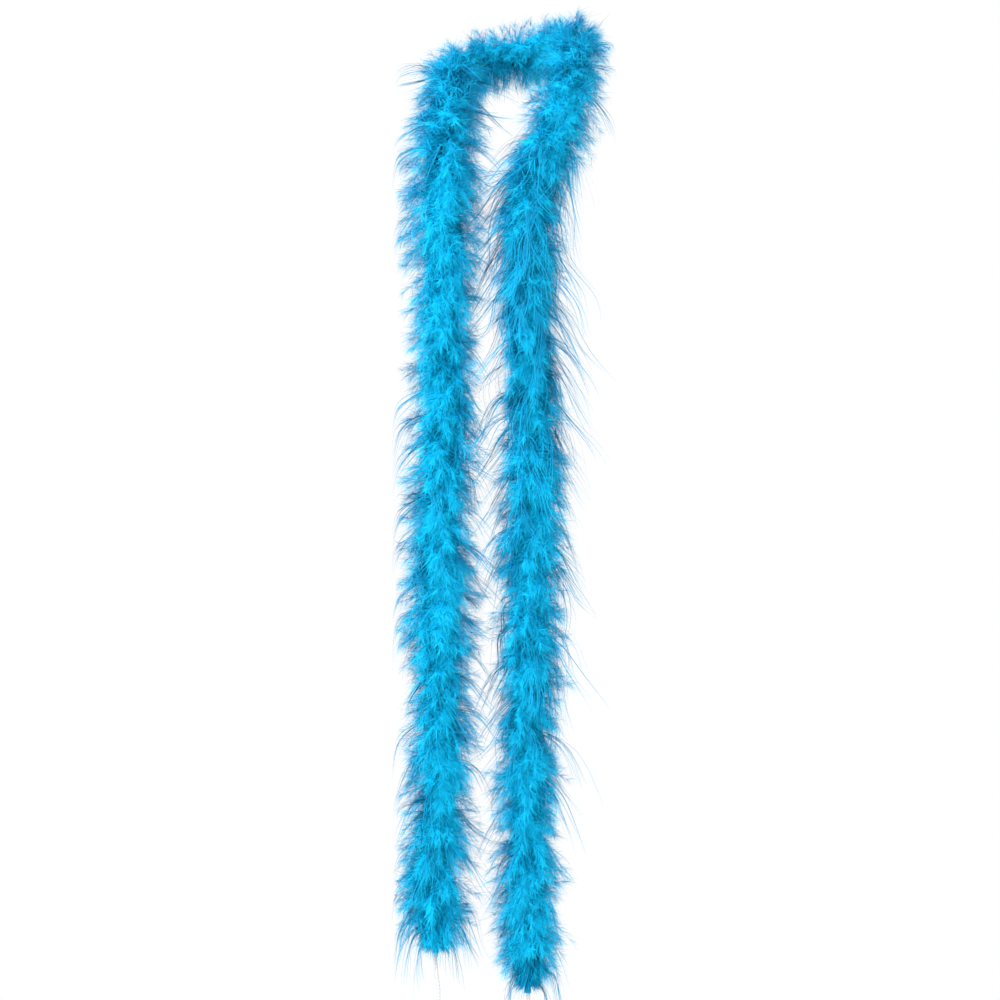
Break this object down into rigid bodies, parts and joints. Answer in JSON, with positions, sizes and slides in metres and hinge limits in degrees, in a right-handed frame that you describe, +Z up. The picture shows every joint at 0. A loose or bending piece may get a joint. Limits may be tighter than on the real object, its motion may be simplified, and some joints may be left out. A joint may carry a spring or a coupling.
{
  "type": "feather boa",
  "caption": "Long turquoise marabou and ostrich feather boa draped round a neck, with both ends hanging down the front and cotton tails below them.",
  "frame": {"origin": "middle of the neck that the boa hangs on, just under the level of the top of the drape", "axes": "+Z up, -Y towards the wearer's front, +X to the right for somebody who faces the wearer"},
  "size_m": [0.2043, 0.2242, 1.1045],
  "materials": {
    "ostrich_flues": "satin",
    "marabou_down": "matte",
    "binding_thread": "satin",
    "cotton_cord": "matte"
  },
  "bodies": {
    "collar": {"core_cord_neck": "cotton_cord", "binding_thread_neck": "binding_thread", "marabou_down_neck": "marabou_down", "ostrich_flues_left_shoulder": "ostrich_flues", "ostrich_flues_nape": "ostrich_flues", "ostrich_flues_right_shoulder": "ostrich_flues"},
    "left_upper": {"core_cord_left_chest_bend": "cotton_cord", "binding_thread_left_chest_bend": "binding_thread", "marabou_down_left_chest_bend": "marabou_down", "ostrich_flues_left_chest_bend": "ostrich_flues", "core_cord_left_upper": "cotton_cord", "binding_thread_left_upper": "binding_thread", "marabou_down_left_upper": "marabou_down", "ostrich_flues_left_upper": "ostrich_flues"},
    "left_lower": {"core_cord_left_middle_bend": "cotton_cord", "binding_thread_left_middle_bend": "binding_thread", "marabou_down_left_middle_bend": "marabou_down", "ostrich_flues_left_middle_bend": "ostrich_flues", "core_cord_left_lower": "cotton_cord", "binding_thread_left_lower": "binding_thread", "marabou_down_left_lower": "marabou_down", "ostrich_flues_left_lower": "ostrich_flues", "cotton_tail_left": "cotton_cord", "end_whipping_left": "binding_thread", "tail_knot_left": "cotton_cord"},
    "right_upper": {"core_cord_right_chest_bend": "cotton_cord", "binding_thread_right_chest_bend": "binding_thread", "marabou_down_right_chest_bend": "marabou_down", "ostrich_flues_right_chest_bend": "ostrich_flues", "core_cord_right_upper": "cotton_cord", "binding_thread_right_upper": "binding_thread", "marabou_down_right_upper": "marabou_down", "ostrich_flues_right_upper": "ostrich_flues"},
    "right_lower": {"core_cord_right_middle_bend": "cotton_cord", "binding_thread_right_middle_bend": "binding_thread", "marabou_down_right_middle_bend": "marabou_down", "ostrich_flues_right_middle_bend": "ostrich_flues", "core_cord_right_lower": "cotton_cord", "binding_thread_right_lower": "binding_thread", "marabou_down_right_lower": "marabou_down", "ostrich_flues_right_lower": "ostrich_flues", "cotton_tail_right": "cotton_cord", "end_whipping_right": "binding_thread", "tail_knot_right": "cotton_cord"}
  },
  "joints": [
    {"name": "left_chest_swing", "type": "hinge", "parent": "collar", "child": "left_upper", "pos_m": [-0.075, -0.092, -0.2225], "axis": [-1, 0, 0], "range_deg": [-8, 70], "deforming": ["core_cord_left_chest_bend", "binding_thread_left_chest_bend", "marabou_down_left_chest_bend", "ostrich_flues_left_chest_bend"]},
    {"name": "right_chest_swing", "type": "hinge", "parent": "collar", "child": "right_upper", "pos_m": [0.01, -0.092, -0.2225], "axis": [-1, 0, 0], "range_deg": [-8, 70], "deforming": ["core_cord_right_chest_bend", "binding_thread_right_chest_bend", "marabou_down_right_chest_bend", "ostrich_flues_right_chest_bend"]},
    {"name": "left_middle_sway", "type": "hinge", "parent": "left_upper", "child": "left_lower", "pos_m": [-0.078, -0.092, -0.5625], "axis": [0, 1, 0], "range_deg": [0, 60], "deforming": ["core_cord_left_middle_bend", "binding_thread_left_middle_bend", "marabou_down_left_middle_bend", "ostrich_flues_left_middle_bend"]},
    {"name": "right_middle_sway", "type": "hinge", "parent": "right_upper", "child": "right_lower", "pos_m": [0.013, -0.092, -0.5625], "axis": [0, -1, 0], "range_deg": [0, 60], "deforming": ["core_cord_right_middle_bend", "binding_thread_right_middle_bend", "marabou_down_right_middle_bend", "ostrich_flues_right_middle_bend"]}
  ]
}
